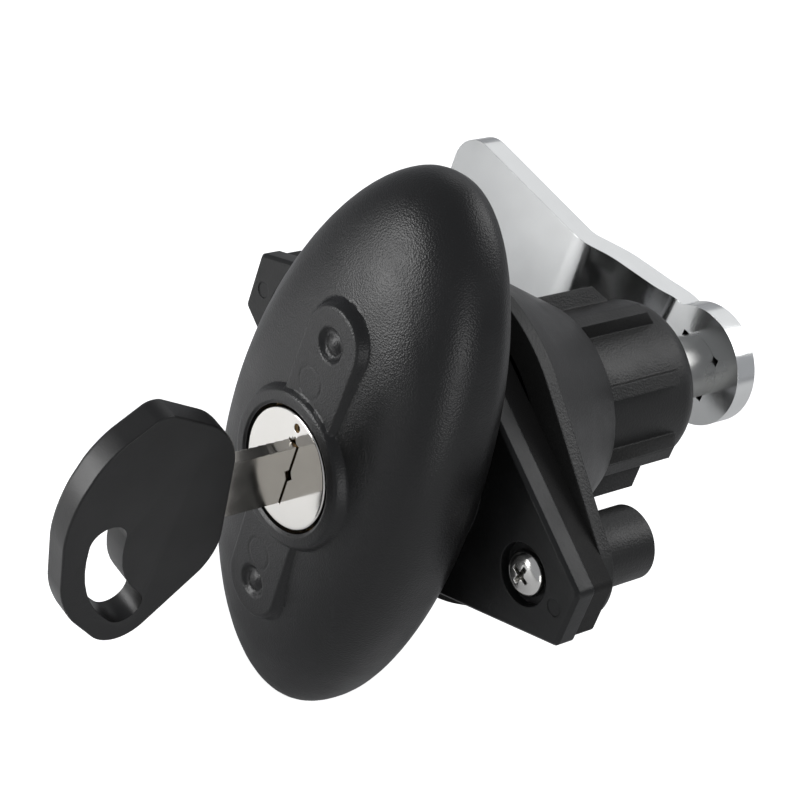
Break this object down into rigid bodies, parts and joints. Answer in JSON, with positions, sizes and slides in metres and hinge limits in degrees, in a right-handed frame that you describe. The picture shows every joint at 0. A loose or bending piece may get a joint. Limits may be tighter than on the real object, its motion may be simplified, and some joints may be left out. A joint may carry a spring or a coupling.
{
  "type": "oval turn handle cam lock",
  "caption": "Oval turn handle lock with a key cylinder in its middle, a lozenge flange, a ribbed rear housing and a joggled cam.",
  "frame": {"origin": "on the lock axis, at the door skin's outer face, between gasket and rear housing", "axes": "+Y along the lock axis into the door, -Y faces the user, +Z along the open handle, +X along the mounting flange"},
  "size_m": [0.0975, 0.1282, 0.0954],
  "materials": {
    "flange_plastic": "satin black moulded",
    "gasket_rubber": "matt black",
    "housing_plastic": "fine spark texture, dark grey",
    "handle_plastic": "coarse spark texture, charcoal",
    "screw_zinc": "bright zinc plate",
    "bush_plastic": "plain moulded",
    "washer_steel": "zinc plated",
    "spindle_zinc": "die cast and plated",
    "seal_rubber": "matt black",
    "clip_steel": "spring steel",
    "lock_brass": "machined",
    "face_nickel": "bright nickel",
    "key_nickel": "nickel plated, milled edge",
    "key_plastic": "satin black",
    "cam_zinc": "bright zinc plate",
    "nut_zinc": "zinc plate"
  },
  "bodies": {
    "base": {"front_flange": "flange_plastic", "gasket": "gasket_rubber", "rear_housing": "housing_plastic", "mounting_screws": "screw_zinc", "front_bush": "bush_plastic", "rear_bush": "bush_plastic"},
    "handle": {"handle_shell": "handle_plastic", "handle_screws": "screw_zinc", "spindle": "spindle_zinc", "spindle_seal": "seal_rubber", "spindle_circlip": "clip_steel", "thrust_washer": "washer_steel", "cylinder_housing": "lock_brass", "cam": "cam_zinc", "cam_washer": "washer_steel", "lock_washer": "clip_steel", "cam_screw": "nut_zinc"},
    "plug": {"lock_plug": "lock_brass", "plug_face": "face_nickel", "wafers": "lock_brass", "plug_clip": "clip_steel"},
    "slider": {"lock_slider": "clip_steel"},
    "key": {"key_blade": "key_nickel", "key_bow": "key_plastic"}
  },
  "joints": [
    {"name": "handle_turn", "type": "hinge", "parent": "base", "child": "handle", "pos_m": [0, 0, 0], "axis": [0, 1, 0], "range_deg": [0, 90]},
    {"name": "plug_turn", "type": "hinge", "parent": "handle", "child": "plug", "pos_m": [0, -0.0282, 0], "axis": [0, 1, 0], "range_deg": [0, 90]},
    {"name": "slider_slide", "type": "slide", "parent": "handle", "child": "slider", "axis": [1, 0, 0], "range_m": [0, 0.0034]},
    {"name": "key_pull", "type": "slide", "parent": "plug", "child": "key", "axis": [0, -1, 0], "range_m": [0, 0.026]}
  ],
  "couplings": [
    {"joint": "slider_slide", "follows": "plug_turn", "m_per_rad": 0.002165}
  ]
}
